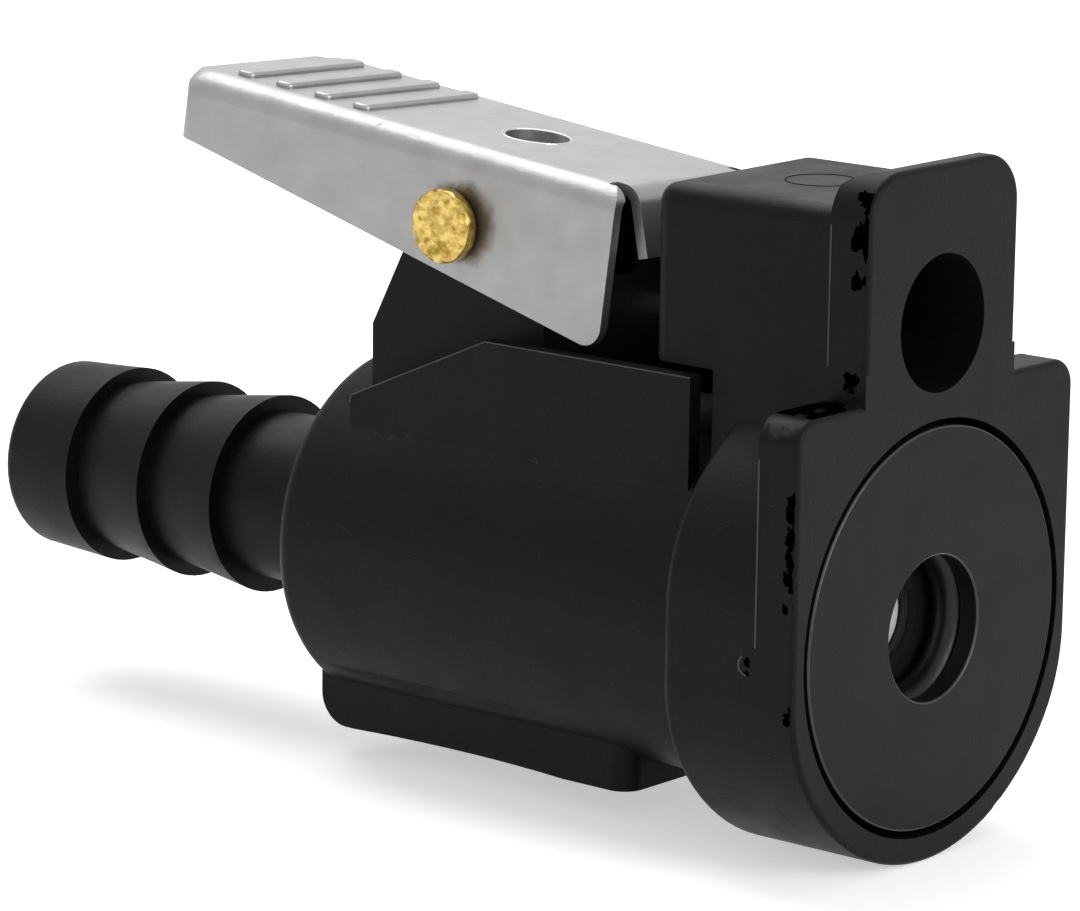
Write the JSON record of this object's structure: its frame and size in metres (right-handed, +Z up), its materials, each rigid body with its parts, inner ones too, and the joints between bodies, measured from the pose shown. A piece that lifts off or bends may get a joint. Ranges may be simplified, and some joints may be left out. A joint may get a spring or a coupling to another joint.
{
  "type": "outboard fuel line connector",
  "caption": "Female quick connector for a marine fuel line: black body with check valve, locating pin bore, hose barb and sprung steel release lever.",
  "frame": {"origin": "centre of the fuel socket on the flat mating face", "axes": "+Y from the mating face back along the fuel passage to the hose barb, +Z up towards the locating pin bore and the lever, X across"},
  "size_m": [0.0238, 0.0627, 0.0372],
  "materials": {
    "black_nylon": "fine moulded texture",
    "nitrile_rubber": "smooth, oiled",
    "stainless_steel": "satin, tumbled",
    "brass": "bare, lightly hammered"
  },
  "bodies": {
    "housing": {"connector_body": "black_nylon", "front_cap": "black_nylon", "cap_seal": "nitrile_rubber", "nipple_o_ring": "nitrile_rubber", "valve_seat": "black_nylon", "seat_o_ring": "nitrile_rubber", "valve_spring": "stainless_steel", "pivot_rivet": "brass", "lever_spring": "stainless_steel"},
    "lever": {"release_lever": "stainless_steel"},
    "ball": {"check_ball": "stainless_steel"}
  },
  "joints": [
    {"name": "lever_hinge", "type": "hinge", "parent": "housing", "child": "lever", "pos_m": [0, 0.0276, 0.0185], "axis": [-1, 0, 0], "range_deg": [0, 8], "stiffness_Nm_per_rad": 0.08, "springref_deg": -40.11, "deforming": ["lever_spring"]},
    {"name": "ball_slide", "type": "slide", "parent": "housing", "child": "ball", "axis": [0, 1, 0], "range_m": [0, 0.004], "stiffness_N_per_m": 380, "springref_m": -0.003, "deforming": ["valve_spring"]}
  ]
}
